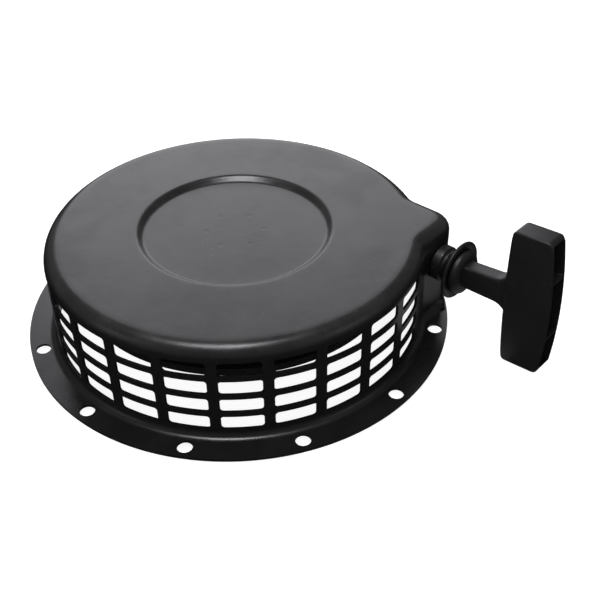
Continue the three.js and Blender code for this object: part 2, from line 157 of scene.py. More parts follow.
class Colours(bpy.types.PropertyGroup):
    """Colours of the finishes."""

    paint: colour("Paint", (0.004, 0.004, 0.0044, 1), "Black paint of the housing")
    dust: colour("Dust", (0.16, 0.155, 0.15, 1), "Dust on faces that look up")
    plastic: colour("Plastic", (0.0045, 0.0045, 0.0048, 1), "Black plastic of grip and guide")
    zinc: colour("Zinc", (0.56, 0.55, 0.51, 1), "Zinc-plated steel")
    spring: colour("Spring steel", (0.2, 0.21, 0.235, 1), "Oiled spring steel")
    bronze: colour("Bronze", (0.45, 0.27, 0.11, 1), "Sintered bronze bush")
    rope: colour("Rope", (0.022, 0.022, 0.024, 1), "Braided rope")


# ---- finishes ----


class Value:
    """A shader socket that takes part in Python arithmetic."""

    def __init__(self, finish, socket):
        self.finish = finish
        self.socket = socket

    def __add__(self, other):
        return self.finish.maths("ADD", self, other)

    def __radd__(self, other):
        return self.finish.maths("ADD", other, self)

    def __sub__(self, other):
        return self.finish.maths("SUBTRACT", self, other)

    def __rsub__(self, other):
        return self.finish.maths("SUBTRACT", other, self)

    def __mul__(self, other):
        return self.finish.maths("MULTIPLY", self, other)

    def __rmul__(self, other):
        return self.finish.maths("MULTIPLY", other, self)

    def __truediv__(self, other):
        return self.finish.maths("DIVIDE", self, other)

    def __rtruediv__(self, other):
        return self.finish.maths("DIVIDE", other, self)

    def __pow__(self, other):
        return self.finish.maths("POWER", self, other)

    def __rpow__(self, other):
        return self.finish.maths("POWER", other, self)


class Finish:
    """A material being made: its main shader and the nodes that drive it."""

    def __init__(self, name, **constants):
        self.material = bpy.data.materials.new(name)
        self.material.use_nodes = True
        self.tree = self.material.node_tree
        self.shader = self.tree.nodes["Principled BSDF"]
        for socket, value in constants.items():
            self.shader.inputs[socket.replace("_", " ")].default_value = value

    def node(self, kind, settings=None, inputs=None, output=0):
        """Adds a node: its settings first, then values or links for its sockets."""
        made = self.tree.nodes.new(kind)
        for key, value in (settings or {}).items():
            if key == "stops":
                self.set_stops(made.color_ramp, value)
            else:
                setattr(made, key, value)
        for key, value in (inputs or {}).items():
            self.feed(made.inputs[key], value)
        return Value(self, made.outputs[output])

    def set_stops(self, ramp, stops):
        """Grey stops of a ramp, as (place, level)."""
        for _ in range(len(stops) - 2):
            ramp.elements.new(0.5)
        for element, (place, level) in zip(ramp.elements, stops):
            element.position = place
            element.color = (level, level, level, 1)

    def feed(self, socket, value):
        """Links a value to a socket, or sets a constant on it."""
        if isinstance(value, Value):
            self.tree.links.new(value.socket, socket)
        else:
            socket.default_value = value

    def maths(self, operation, *operands):
        """One step of arithmetic on values and numbers."""
        return self.node("ShaderNodeMath", {"operation": operation}, dict(enumerate(operands)))

    def place(self):
        """The place on the object, in metres."""
        return self.node("ShaderNodeTexCoord", output="Object")

    def part(self, vector, axis):
        return self.node("ShaderNodeSeparateXYZ", None, {0: vector}, axis)

    def stretched(self, vector, scale):
        return self.node("ShaderNodeMapping", None, {"Vector": vector, "Scale": scale})

    def noise(self, vector, scale, detail, roughness=0.5):
        inputs = {"Vector": vector, "Scale": scale, "Detail": detail, "Roughness": roughness}
        return self.node("ShaderNodeTexNoise", None, inputs)

    def ramp(self, value, *stops):
        return self.node("ShaderNodeValToRGB", {"stops": stops}, {0: value})

    def mixed(self, first, second, factor):
        """A blend of two colours."""
        return self.node("ShaderNodeMix", {"data_type": "RGBA"}, {0: factor, 6: first, 7: second}, 2)

    def upward(self):
        """1 on faces that look up, 0 on walls and undersides."""
        normal = self.node("ShaderNodeNewGeometry", output="Normal")
        return self.ramp(self.part(normal, "Z"), (0.3, 0), (0.95, 1))

    def bump(self, height, distance, strength):
        """Small relief of the surface; the distance is in metres."""
        inputs = {"Height": height, "Distance": distance, "Strength": strength}
        self.feed(self.shader.inputs["Normal"], self.node("ShaderNodeBump", None, inputs))

    def surface(self, **sockets):
        """Values or links for the main shader's sockets."""
        for name, value in sockets.items():
            self.feed(self.shader.inputs[name.replace("_", " ")], value)


def satin_paint(scene):
    """Black paint over pressed steel: faint orange peel, dull patches and smudges, a film of dust that
    thins low down as painted shade on the flange.
    """
    colours = scene.starter_colours
    finish = Finish("satin_black_paint", Specular_IOR_Level=0.42)
    place = finish.place()
    patches = finish.noise(place, 9, 3)
    smears = finish.noise(finish.stretched(place, (1, 2.6, 1)), 46, 5, 0.62)
    blots = finish.noise(finish.stretched(place, (1.5, 1, 1)), 17, 4, 0.58)
    smudges = finish.ramp(blots, (0.53, 0), (0.6, 1))
    specks = finish.ramp(finish.noise(place, 520, 2), (0.66, 0), (0.74, 1))
    film = finish.ramp(finish.noise(place, 26, 6, 0.7), (0.4, 0), (0.78, 1))
    # painted shade: the pale dust thins to a tenth towards the flange, so the flange reads darker than the
    # top face; the dust on faces that look up is real
    height = finish.part(place, "Z") / scene.starter_housing.height
    painted_shade_by_height = finish.ramp(height, (0.2, 0.1), (0.9, 1))
    dust = finish.upward() * painted_shade_by_height * (film * 0.09 + specks * 0.12 + 0.02)
    finish.surface(
        Base_Color=finish.mixed(list(colours.paint), list(colours.dust), dust),
        Roughness=0.2 + patches * 0.09 + smears * 0.08 + smudges * 0.045 + dust * 0.4,
    )
    peel = finish.noise(place, 640, 2) * 0.7 + finish.noise(place, 90, 2) * 1.6
    finish.bump(peel, 0.00006, 0.55)
    return finish.material


def moulded_plastic(scene, name, roughness, grain):
    """Black moulded plastic with a fine spark-eroded grain and rubbed patches."""
    colours = scene.starter_colours
    finish = Finish(name, Specular_IOR_Level=0.45)
    place = finish.place()
    rubbed = finish.noise(place, 55, 4, 0.6)
    texture = finish.noise(place, grain, 3, 0.6)
    pale = finish.ramp(finish.noise(place, 320, 3), (0.62, 0), (0.8, 1)) * 0.05
    finish.surface(
        Base_Color=finish.mixed(list(colours.plastic), list(colours.dust), pale),
        Roughness=roughness + rubbed * 0.14 + texture * 0.06,
    )
    finish.bump(texture + rubbed * 0.4, 0.00005, 0.5)
    return finish.material


def grip_plastic(scene):
    """Plastic of the handle and the rope guide."""
    return moulded_plastic(scene, "grained_black_plastic", 0.36, 1500)


def reel_plastic(scene):
    """Duller plastic of the rope reel."""
    return moulded_plastic(scene, "matt_black_plastic", 0.52, 900)


def plated_steel(scene):
    """Zinc plate: bright, slightly cloudy, with short handling scratches."""
    colours = scene.starter_colours
    finish = Finish("zinc_plated_steel", Metallic=1.0)
    place = finish.place()
    cloud = finish.noise(place, 120, 4, 0.6)
    streaks = finish.noise(finish.stretched(place, (1, 14, 1)), 500, 2)
    scratch = finish.ramp(streaks, (0.55, 0), (0.75, 1))
    tint = finish.mixed(list(colours.zinc), (0.42, 0.4, 0.3, 1), cloud * 0.5)
    finish.surface(Base_Color=tint, Roughness=0.24 + cloud * 0.16 + scratch * 0.12)
    finish.bump(scratch + cloud, 0.00003, 0.5)
    return finish.material


def oiled_steel(scene):
    """Dark blue-grey spring steel with a film of oil."""
    colours = scene.starter_colours
    finish = Finish("oiled_spring_steel", Metallic=1.0)
    place = finish.place()
    film = finish.noise(place, 70, 5, 0.65)
    tint = finish.mixed(list(colours.spring), (0.09, 0.075, 0.06, 1), film * 0.7)
    finish.surface(Base_Color=tint, Roughness=0.2 + film * 0.22)
    finish.bump(finish.noise(place, 900, 2), 0.00003, 0.4)
    return finish.material


def sintered_bronze(scene):
    """Porous bronze bush."""
    colours = scene.starter_colours
    finish = Finish("sintered_bronze", Metallic=1.0)
    place = finish.place()
    pores = finish.ramp(finish.noise(place, 2600, 2), (0.35, 0), (0.55, 1))
    finish.surface(
        Base_Color=finish.mixed((0.16, 0.09, 0.04, 1), list(colours.bronze), pores),
        Roughness=0.5 - pores * 0.14,
    )
    finish.bump(pores, 0.00005, 0.6)
    return finish.material


BRAID_LAY = 7 * MM  # length of rope in which a strand goes once round
STRANDS = 8
LAYS_ROUND = 63  # whole lays of the braid in one turn on the reel, so that the pattern closes


def braid(finish, along, around, base):
    """Diagonal strands from a place along the rope in metres and an angle round it, with a painted
    highlight on the strands' crowns.
    """
    lay = along * (FULL / BRAID_LAY)
    twist = around * (STRANDS / 2)
    right = finish.maths("SINE", lay + twist)
    left = finish.maths("SINE", lay - twist)
    strand = finish.maths("MAXIMUM", right, left)
    fuzz = finish.noise(finish.place(), 2200, 3, 0.7)
    # painted highlight: the crowns of the strands get a paler copy of the rope's colour and the grooves
    # between them stay dark; the random fuzz of paler fibres mixed in is real
    strand_highlight_and_fuzz = finish.ramp(strand, (0.2, 0), (1.0, 1)) * 0.6 + fuzz * 0.3
    pale = tuple(min(1, level * 3.2) for level in base[:3]) + (1,)
    finish.surface(Base_Color=finish.mixed(list(base), pale, strand_highlight_and_fuzz), Roughness=0.9 - strand_highlight_and_fuzz * 0.25)
    finish.bump(strand + fuzz * 0.35, 0.0005, 0.8)
    return finish.material


def straight_rope(scene):
    """Braided rope that lies along the rope's line."""
    finish = Finish("braided_rope_straight", Specular_IOR_Level=0.3)
    place = finish.place()
    rise = finish.part(place, "Z") - ROPE_Z
    side = finish.part(place, "Y") - ROPE_Y
    around = finish.maths("ARCTAN2", rise, side)
    return braid(finish, finish.part(place, "X"), around, scene.starter_colours.rope)


def wound_rope(scene):
    """Braided rope that lies in a flat spiral round the reel's axis."""
    rope = scene.starter_rope
    finish = Finish("braided_rope_wound", Specular_IOR_Level=0.3)
    place = finish.place()
    x = finish.part(place, "X")
    y = finish.part(place, "Y")
    azimuth = finish.maths("ARCTAN2", y, x)
    radius = (x * x + y * y) ** 0.5
    turn = (rope.outer_turn - radius) / rope.step - azimuth / FULL + 0.75
    offset = (finish.maths("FRACT", turn) - 0.5) * rope.step
    rise = finish.part(place, "Z") - ROPE_Z
    along = azimuth * (LAYS_ROUND * BRAID_LAY / FULL)
    return braid(finish, along, finish.maths("ARCTAN2", rise, offset), scene.starter_colours.rope)


MAKERS = {
    "paint": satin_paint,
    "plastic": grip_plastic,
    "reel": reel_plastic,
    "zinc": plated_steel,
    "spring": oiled_steel,
    "bronze": sintered_bronze,
    "rope": straight_rope,
    "winding": wound_rope,
}
MADE = {}


def finished(name):
    """The material of a finish, made when it is first asked for."""
    if name not in MADE:
        MADE[name] = MAKERS[name](bpy.context.scene)
    return MADE[name]


# ---- making pieces ----

BEVEL_FROM = 32  # degrees between two faces from which their edge is bevelled
SHARP_FROM = 38  # degrees from which an edge that isn't bevelled is shaded sharp
SHEET_BEVEL_FROM = 50  # degrees for the pressed sheet: only its cut edges


def polar(radius, degrees):
    """Point at a radius and an azimuth in degrees."""
    azimuth = math.radians(degrees)
    return radius * math.cos(azimuth), radius * math.sin(azimuth)


def arc(centre, radius, first, last, steps):
    """Points of an arc in a plane, angles in degrees."""
    points = []
    for i in range(steps + 1):
        dx, dy = polar(radius, first + (last - first) * i / steps)
        points.append((centre[0] + dx, centre[1] + dy))
    return points


def millimetres(points):
    """Points given in millimetres, in metres."""
    return [(a * MM, b * MM) for a, b in points]


def washer(inner, outer, low, high):
    """Outline of a flat ring, to be turned."""
    return [(inner, low), (outer, low), (outer, high), (inner, high)]


def outward(bm):
    """Merges doubled points and turns the faces outwards."""
    bmesh.ops.remove_doubles(bm, verts=bm.verts, dist=MERGE)
    bmesh.ops.recalc_face_normals(bm, faces=bm.faces)
    return bm


def as_object(name, bm):
    """Turns a bmesh into an object in the scene."""
    mesh = bpy.data.meshes.new(name)
    bm.to_mesh(mesh)
    bm.free()
    obj = bpy.data.objects.new(name, mesh)
    bpy.context.scene.collection.objects.link(obj)
    return obj


def soften_edges(obj, width, segments, degrees):
    """A bevel on the edges that turn by more than an angle."""
    soften = obj.modifiers.new("softened_edges", "BEVEL")
    soften.width = width
    soften.segments = segments
    soften.limit_method = "ANGLE"
    soften.angle_limit = math.radians(degrees)
    soften.harden_normals = True


def add_piece(name, bm, finish, body, node, bevel=0.0, segments=2, blended=False):
    """Turns a bmesh into a finished piece that stands for a node and, unless blended, rides on its body."""
    obj = as_object(name, bm)
    obj.data.polygons.foreach_set("use_smooth", [True] * len(obj.data.polygons))
    obj.data.materials.append(finished(finish))
    if bevel:
        soften_edges(obj, bevel, segments, BEVEL_FROM)
    else:
        obj.data.set_sharp_from_angle(angle=math.radians(SHARP_FROM))
    if not blended:
        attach(obj, body)
    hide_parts(node)
    return obj


def turned(outline, steps, on_rope=False):
    """A turned piece from an outline of (radius, place along the axis), about reel or rope."""
    bm = bmesh.new()
    if on_rope:
        centre, axis = (0, ROPE_Y, ROPE_Z), (1, 0, 0)
        verts = [bm.verts.new((along, ROPE_Y + r, ROPE_Z)) for r, along in outline]
    else:
        centre, axis = (0, 0, 0), (0, 0, 1)
        verts = [bm.verts.new((r, 0, along)) for r, along in outline]
    ends = [verts[0]] if outline[0][0] > 0 else []
    edges = [bm.edges.new(pair) for pair in zip(verts, verts[1:] + ends)]
    bmesh.ops.spin(
        bm, geom=verts + edges, cent=centre, axis=axis, angle=FULL, steps=steps, use_merge=True
    )
    return outward(bm)


def extruded(points, direction):
    """A flat outline of 3-D points given a thickness."""
    bm = bmesh.new()
    face = bm.faces.new([bm.verts.new(p) for p in points])
    made = bmesh.ops.extrude_face_region(bm, geom=[face])["geom"]
    moved = [item for item in made if isinstance(item, bmesh.types.BMVert)]
    bmesh.ops.translate(bm, verts=moved, vec=direction)
    return outward(bm)


def upright(outline, thick, edge, segments=4):
    """A slab in the plane of rope and grip with round rims: outline of (x, height over the rope)."""
    low = ROPE_Y - thick / 2
    bm = extruded([(x, low, ROPE_Z + z) for x, z in outline], (0, thick, 0))
    level = 0.0001 * MM
    rims = [e for e in bm.edges if abs(e.verts[0].co.y - e.verts[1].co.y) < level]
    bmesh.ops.bevel(
        bm,
        geom=rims,
        offset=edge,
        segments=segments,
        profile=0.5,
        affect="EDGES",
        clamp_overlap=False,
        material=-1,
    )
    return bm


def flat(outline, low, high):
    """A slab square to the reel's axis: outline of (x, y)."""
    return extruded([(x, y, low) for x, y in outline], (0, 0, high - low))


def rod(radius, first, last, steps):
    """A round bar between two points."""
    first, last = Vector(first), Vector(last)
    bm = bmesh.new()
    bmesh.ops.create_cone(
        bm, cap_ends=True, segments=steps, radius1=radius, radius2=radius, depth=(last - first).length
    )
    turn = (last - first).to_track_quat("Z", "Y").to_matrix().to_4x4()
    bmesh.ops.transform(bm, matrix=Matrix.Translation((first + last) / 2) @ turn, verts=bm.verts)
    return bm


def box(low, high, corner):
    """A box between two corners, with its edges rounded."""
    low, high = Vector(low), Vector(high)
    bm = bmesh.new()
    bmesh.ops.create_cube(bm, size=1)
    bmesh.ops.scale(bm, vec=high - low, verts=bm.verts)
    bmesh.ops.translate(bm, vec=(low + high) / 2, verts=bm.verts)
    bmesh.ops.bevel(
        bm, geom=bm.edges[:], offset=corner, segments=3, profile=0.5, affect="EDGES", material=-1
    )
    return bm


def combined(base, others, operation):
    """The base piece joined with the others, or cut by them."""
    body = as_object("combining_base", base)
    tools = [as_object("combining_tool", other) for other in others]
    for tool in tools:
        step = body.modifiers.new("combine", "BOOLEAN")
        step.operation = operation
        step.solver = "EXACT"
        step.object = tool
    bpy.context.view_layer.update()
    painted_shade_by_height = body.evaluated_get(bpy.context.evaluated_depsgraph_get())
    bm = bmesh.new()
    bm.from_mesh(painted_shade_by_height.to_mesh())
    for item in [body, *tools]:
        bpy.data.meshes.remove(item.data)
    return outward(bm)


# ---- housing ----

PITCH = 15  # degrees between columns of slots and half the pitch of the screw holes
HOLE_PITCH = 2 * PITCH
NOSE_MIDDLE = 45  # azimuth of the nose's corner, about which its two walls are alike
NOSE_FLANK = 22.5  # azimuth where the nose's stretch of wall starts
NOSE_COLUMNS = (30, 45, 60)  # columns that the nose takes the place of
SLOT_ROWS = 4
DISH_START = 3.2 * MM  # how far outside the recess's radius the top face's round rows start
RECESS_SLOPE = 2.9 * MM  # half the width of the recess's sloping side
WELD_CIRCLE = 17.5 * MM
WELD_RADIUS = 1.7 * MM
WELD_DEPTH = 0.07 * MM
SLACK = 0.001 * MM  # how near two places of grid lines count as one
ANGLE_SLACK = 1e-4  # the same for their azimuths
GUIDE_HOLE = 9.3 * MM  # radius of the nose's hole for the rope guide
PIN_HOLE = 1.3 * MM  # radius of the small hole between two screw holes
PIN_HOLE_PLACE = (124.75 * MM, 20.98)  # distance from the reel's axis, and azimuth


def nose_wall(sizes, azimuth):
    """Point and outward normal of the nose's wall, for an azimuth between its two flanks."""
    if azimuth > NOSE_MIDDLE:
        (x, y), (nx, ny) = nose_wall(sizes, 2 * NOSE_MIDDLE - azimuth)
        return (y, x), (ny, nx)
    start = NOSE_FLANK
    blend_x = sizes.nose_face + sizes.nose_blend
    blend_y = math.sqrt((sizes.drum + sizes.nose_blend) ** 2 - blend_x**2)
    touch = math.degrees(math.atan2(blend_y, blend_x))
    corner = sizes.nose_face - sizes.nose_corner
    lengths = (
        sizes.drum * math.radians(touch - start),
        sizes.nose_blend * math.radians(touch),
        corner - blend_y,
        sizes.nose_corner * math.radians(NOSE_MIDDLE),
    )
    run = (azimuth - start) / (NOSE_MIDDLE - start) * sum(lengths)
    if run <= lengths[0]:
        bearing = start + math.degrees(run / sizes.drum)
        return polar(sizes.drum, bearing), polar(1, bearing)
    run -= lengths[0]
    if run <= lengths[1]:
        nx, ny = polar(1, touch - math.degrees(run / sizes.nose_blend))
        return (blend_x - sizes.nose_blend * nx, blend_y - sizes.nose_blend * ny), (nx, ny)
    run -= lengths[1]
    if run <= lengths[2]:
        return (sizes.nose_face, blend_y + run), (1, 0)
    nx, ny = polar(1, math.degrees((run - lengths[2]) / sizes.nose_corner))
    return (corner + sizes.nose_corner * nx, corner + sizes.nose_corner * ny), (nx, ny)


def wall(sizes, azimuth):
    """Point and outward normal of the drum's or nose's wall."""
    if NOSE_FLANK < azimuth < 2 * NOSE_MIDDLE - NOSE_FLANK:
        return nose_wall(sizes, azimuth)
    return polar(sizes.drum, azimuth), polar(1, azimuth)


def column_lines(sizes):
    """Azimuths of the sheet's grid lines, fine at each slot's corners, and half a slot's angle."""
    edge = math.degrees(math.asin(sizes.slot_width / 2 / sizes.drum))
    corner = math.degrees(sizes.slot_corner / sizes.drum)
    inner = edge - corner
    half = [inner * i / 4 for i in range(5)] + [edge - corner / 2, edge, (edge + PITCH / 2) / 2]
    offsets = [-PITCH / 2] + [-v for v in reversed(half[1:])] + half
    lines = [(column * PITCH + v) % 360 for column in range(360 // PITCH) for v in offsets]
    return sorted(lines) + [360.0], edge


def row_lines(sizes):
    """The sheet's section from the flange's edge to the centre of the top, as (zone, place)."""
    edge_line = sizes.flange - 1.1 * MM
    rows = [("flange", sizes.flange), ("flange", edge_line)]
    rows += [("flange", sizes.bolt_circle + sizes.bolt_hole * (1 - i / 2)) for i in range(5)]
    rows += [("flange", sizes.drum + sizes.foot_fillet)]
    rows += [("foot", i / 5) for i in range(1, 6)]
    half = sizes.slot_height / 2
    corner = sizes.slot_corner
    for row in reversed(range(SLOT_ROWS)):
        middle = sizes.slot_top - row * sizes.slot_pitch
        steps = (half, half - corner / 2, half - corner)
        rows += [("wall", middle - v) for v in steps] + [("wall", middle)]
        rows += [("wall", middle + v) for v in reversed(steps)]
        if row:
            rows += [("wall", middle + sizes.slot_pitch / 2)]
    rows += [("fillet", i / 8) for i in range(9)]
    rows += [("top", share) for share in (0.06, 0.25, 0.45, 0.65, 0.82, 0.94)]
    rows += [("dish", sizes.recess + DISH_START * (1 - i / 5)) for i in range(11)]
    rows += [("dish", radius * MM) for radius in (46, 36, 28, 24)]
    rows += [("dish", WELD_CIRCLE + (4 - 0.8 * i) * MM) for i in range(11)]
    rows += [("dish", radius * MM) for radius in (11, 7, 3.5, 1.2, 0)]
    return rows


def eased(value):
    """0 below 0, 1 above 1 and a smooth step between them."""
    value = min(max(value, 0), 1)
    return value * value * (3 - 2 * value)


def dish_height(sizes, x, y):
    """Height of the top face inside its rim: the recess and the six weld marks in it."""
    gap = sizes.recess + RECESS_SLOPE - math.hypot(x, y)
    height = sizes.height - sizes.recess_depth * eased(gap / (2 * RECESS_SLOPE))
    for i in range(6):
        mark = polar(WELD_CIRCLE, 45 + 60 * i)
        off = math.dist((x, y), mark) / WELD_RADIUS
        height -= WELD_DEPTH * math.exp(-(off**4))
    return height


def flange_point(sizes, azimuth, place, start):
    """A point of the flange, which widens from the foot of the wall to its round edge."""
    foot = sizes.drum + sizes.foot_fillet
    nearest = math.hypot(*start)
    share = (place - foot) / (sizes.flange - foot)
    turning = 3 * MM  # width over which the grid lines turn square to the round edge
    settle = min(1, (place - foot) / turning)
    bearing = math.degrees(math.atan2(start[1], start[0])) % 360
    if azimuth - bearing > 180:
        bearing += 360
    x, y = polar(nearest + share * (sizes.flange - nearest), bearing + (azimuth - bearing) * settle)
    return x, y, sizes.sheet


def sheet_point(sizes, azimuth, zone, place):
    """Where a grid line crossing of the flat sheet goes on the pressed housing."""
    (x, y), (nx, ny) = wall(sizes, azimuth)
    reach = min(sizes.foot_fillet, sizes.flange - 0.5 * MM - math.hypot(x, y))
    if zone == "flange":
        return flange_point(sizes, azimuth, place, (x + nx * reach, y + ny * reach))
    if zone == "foot":
        out, up = polar(1, 90 - 90 * place)
        return (
            x + nx * reach * (1 - out),
            y + ny * reach * (1 - out),
            sizes.sheet + sizes.foot_fillet * (1 - up),
        )
    if zone == "wall":
        return x, y, place
    turn = 90 if zone in ("top", "dish") else 90 * place
    out, up = polar(sizes.top_fillet, turn)
    inwards = sizes.top_fillet - out
    x, y = x - nx * inwards, y - ny * inwards
    if zone == "fillet":
        return x, y, sizes.height - sizes.top_fillet + up
    if zone == "top":
        dish_x, dish_y = polar(sizes.recess + DISH_START, azimuth)
        x, y = x + (dish_x - x) * place, y + (dish_y - y) * place
    else:
        x, y = polar(place, azimuth)
    return x, y, dish_height(sizes, x, y)


def rounded(u, v, half_u, half_v, corner):
    """Moves a point of a rectangle's edge onto the same rectangle with round corners."""
    du = abs(u) - (half_u - corner)
    dv = abs(v) - (half_v - corner)
    if du <= 0 or dv <= 0:
        return u, v
    turn = 45 * dv / du if du >= dv else 90 - 45 * du / dv
    cu, cv = polar(corner, turn)
    return math.copysign(half_u - corner + cu, u), math.copysign(half_v - corner + cv, v)


def around_column(azimuth, column):
    """An azimuth counted from a column's middle, in degrees from -180 to 180."""
    return (azimuth - column + 180) % 360 - 180


def within(corners, zone, column, half_angle, low, high):
    """Whether all corners of a grid face lie in a patch of a zone."""
    slack = 1e-5
    for azimuth, corner_zone, place in corners:
        if corner_zone != zone or abs(around_column(azimuth, column)) > half_angle + slack:
            return False
        if not low - slack < place < high + slack:
            return False
    return True


def screw_hole_point(sizes, column, across, along):
    """A point of a screw hole's rim, for a point of the square round it, from -2 to 2 each way."""
    if abs(across) >= abs(along):
        turn = 45 * along / across + (0 if across > 0 else 180)
    else:
        turn = 90 - 45 * across / along + (0 if along > 0 else 180)
    side, deep = polar(sizes.bolt_hole, turn)
    x, y = polar(sizes.bolt_circle, column)
    out_x, out_y = polar(1, column)
    return x + out_x * deep - out_y * side, y + out_y * deep + out_x * side, sizes.sheet


def slot_point(sizes, column, off, half_angle, middle, height):
    """A point of a slot's rim with its corners rounded."""
    u, v = rounded(
        math.radians(off) * sizes.drum,
        height - middle,
        math.radians(half_angle) * sizes.drum,
        sizes.slot_height / 2,
        sizes.slot_corner,
    )
    x, y = polar(sizes.drum, column + math.degrees(u / sizes.drum))
    return x, y, middle + v


def housing_sheet(sizes):
    """The pressed sheet as one surface: a flat grid pierced with its slots and holes, then formed."""
    columns, slot_angle = column_lines(sizes)
    rows = row_lines(sizes)
    bm = bmesh.new()
    bmesh.ops.create_grid(bm, x_segments=len(columns) - 1, y_segments=len(rows) - 1, size=0.5)
    places = {}
    for vert in bm.verts:
        i = round((vert.co.x + 0.5) * (len(columns) - 1))
        j = round((vert.co.y + 0.5) * (len(rows) - 1))
        places[vert] = (columns[i], *rows[j])

    half = sizes.slot_height / 2
    middles = [sizes.slot_top - row * sizes.slot_pitch for row in range(SLOT_ROWS)]
    hole_angle = (slot_angle - math.degrees(sizes.slot_corner / sizes.drum)) / 2
    hole_low = sizes.bolt_circle - sizes.bolt_hole
    hole_high = sizes.bolt_circle + sizes.bolt_hole
    doomed = []
    for face in bm.faces:
        corners = [places[vert] for vert in face.verts]
        column = round(sum(corner[0] for corner in corners) / 4 / PITCH) * PITCH
        on_hole = within(corners, "flange", column, hole_angle, hole_low, hole_high)
        if column % HOLE_PITCH == 0 and on_hole:
            doomed.append(face)
        if column % 360 in NOSE_COLUMNS:
            continue
        if any(within(corners, "wall", column, slot_angle, m - half, m + half) for m in middles):
            doomed.append(face)
    bmesh.ops.delete(bm, geom=doomed, context="FACES")

    for vert in bm.verts:
        azimuth, zone, place = places[vert]
        column = round(azimuth / PITCH) * PITCH
        off = azimuth - column
        vert.co = sheet_point(sizes, azimuth, zone, place)
        if not vert.is_boundary:
            continue
        on_ring = zone == "flange" and hole_low - SLACK < place < hole_high + SLACK
        if on_ring and column % HOLE_PITCH == 0 and abs(off) < hole_angle + ANGLE_SLACK:
            across = off / hole_angle * 2
            along = (place - sizes.bolt_circle) / sizes.bolt_hole * 2
            vert.co = screw_hole_point(sizes, column, across, along)
        on_wall = zone == "wall" and column % 360 not in NOSE_COLUMNS
        if on_wall and abs(off) < slot_angle + ANGLE_SLACK:
            middle = min(middles, key=lambda m: abs(m - place))
            vert.co = slot_point(sizes, column, off, slot_angle, middle, place)
    bmesh.ops.remove_doubles(bm, verts=bm.verts, dist=2 * MERGE)
    return bm


def pierce(bm, centre, axis, radius):
    """Cuts a round hole through a surface where an axis passes through it."""
    centre, axis = Vector(centre), Vector(axis).normalized()

    def off_axis(point):
        gap = point - centre
        return gap - axis * gap.dot(axis)

    near = [v for v in bm.verts if (v.co - centre).length < radius * 1.8]
    faces = {f for v in near for f in v.link_faces}
    doomed = [f for f in faces if off_axis(f.calc_center_median()).length < radius * 0.9]
    rim = {v for f in doomed for v in f.verts}
    bmesh.ops.delete(bm, geom=doomed, context="FACES")
    for vert in rim:
        if vert.is_valid:
            gap = off_axis(vert.co)
            vert.co += gap.normalized() * radius - gap


class STARTER_OT_housing(bpy.types.Operator):
    """Press the slotted drum with its nose, recess and flange"""

    bl_idname = "starter.housing"
    bl_label = "Housing"

    def execute(self, context):
        sizes = context.scene.starter_housing
        bm = housing_sheet(sizes)
        pierce(bm, (*polar(*PIN_HOLE_PLACE), sizes.sheet), (0, 0, 1), PIN_HOLE)
        pierce(bm, (sizes.nose_face, ROPE_Y, ROPE_Z), (1, 0, 0), GUIDE_HOLE)
        bmesh.ops.recalc_face_normals(bm, faces=bm.faces)
        lowest = min(bm.faces, key=lambda f: abs(f.calc_center_median().z - sizes.sheet))
        if lowest.normal.z < 0:
            bmesh.ops.reverse_faces(bm, faces=bm.faces)
        shell = add_piece("housing_shell", bm, "paint", "housing", "housing")
        thick = shell.modifiers.new("sheet", "SOLIDIFY")
        thick.thickness = sizes.sheet
        thick.offset = -1
        soften_edges(shell, 0.32 * MM, 2, SHEET_BEVEL_FROM)
        return {"FINISHED"}


# ---- rope guide ----


class STARTER_OT_rope_guide(bpy.types.Operator):
    """Turn the flared rope guide and the clip that holds it in the nose"""

    bl_idname = "starter.rope_guide"
    bl_label = "Rope guide"

    def execute(self, context):
        bore = 4.2
        barrel = 9
        outline = [(bore, 84.6), (barrel - 0.6, 84.6), (barrel, 85.2), (barrel, 97.3)]
        outline += [(10.8, 97.3), (11.2, 97.7)]
        outline += arc((10.2, 102.2), 1, 0, 70, 4)  # collar against the nose
        outline += arc((11.3, 104.9), 1.7, 215, 150, 6)  # waist
        outline += arc((13.2, 104.6), 3.5, 150, 115, 4)[1:]
        outline += [(14.4, 109.4), (16.4, 110.4)]
        outline += arc((17.4, 111.6), 1.1, -60, 120, 8)  # lip
        outline += arc((18.2, 104.2), 8.9, 112, 168, 8)  # hollow face of the flare
        outline += [(8.2, 105.3), (6.4, 104.7), (4.9, 103.6), (bore, 102.4)]
        guide = turned(millimetres(outline), 128, on_rope=True)
        add_piece("guide_flare", guide, "plastic", "housing", "rope_guide")
        low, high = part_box("guide_clip")
        outer = (high[1] - low[1]) / 2
        clip = turned(washer(GUIDE_HOLE, outer, low[0], high[0]), 64, on_rope=True)
        add_piece("guide_retainer", clip, "spring", "housing", "guide_clip", 0.25 * MM)
        return {"FINISHED"}


# ---- grip ----


def bowed(start, swell, first, last, half):
    """Points along a side that swells outwards towards its middle."""
    steps = 14
    points = []
    for i in range(steps + 1):
        z = first + (last - first) * i / steps
        points.append((start + swell * (1 - (z / half) ** 2), z))
    return points


def seated(sizes):
    """Turns what is made on the rope's line the way the handle sits in the guide."""
    seat = Matrix.Translation((sizes.seat, ROPE_Y, ROPE_Z))
    tipped = Matrix.Rotation(-sizes.tip, 4, "Y") @ Matrix.Rotation(sizes.roll, 4, "X")
    return seat @ tipped @ seat.inverted()


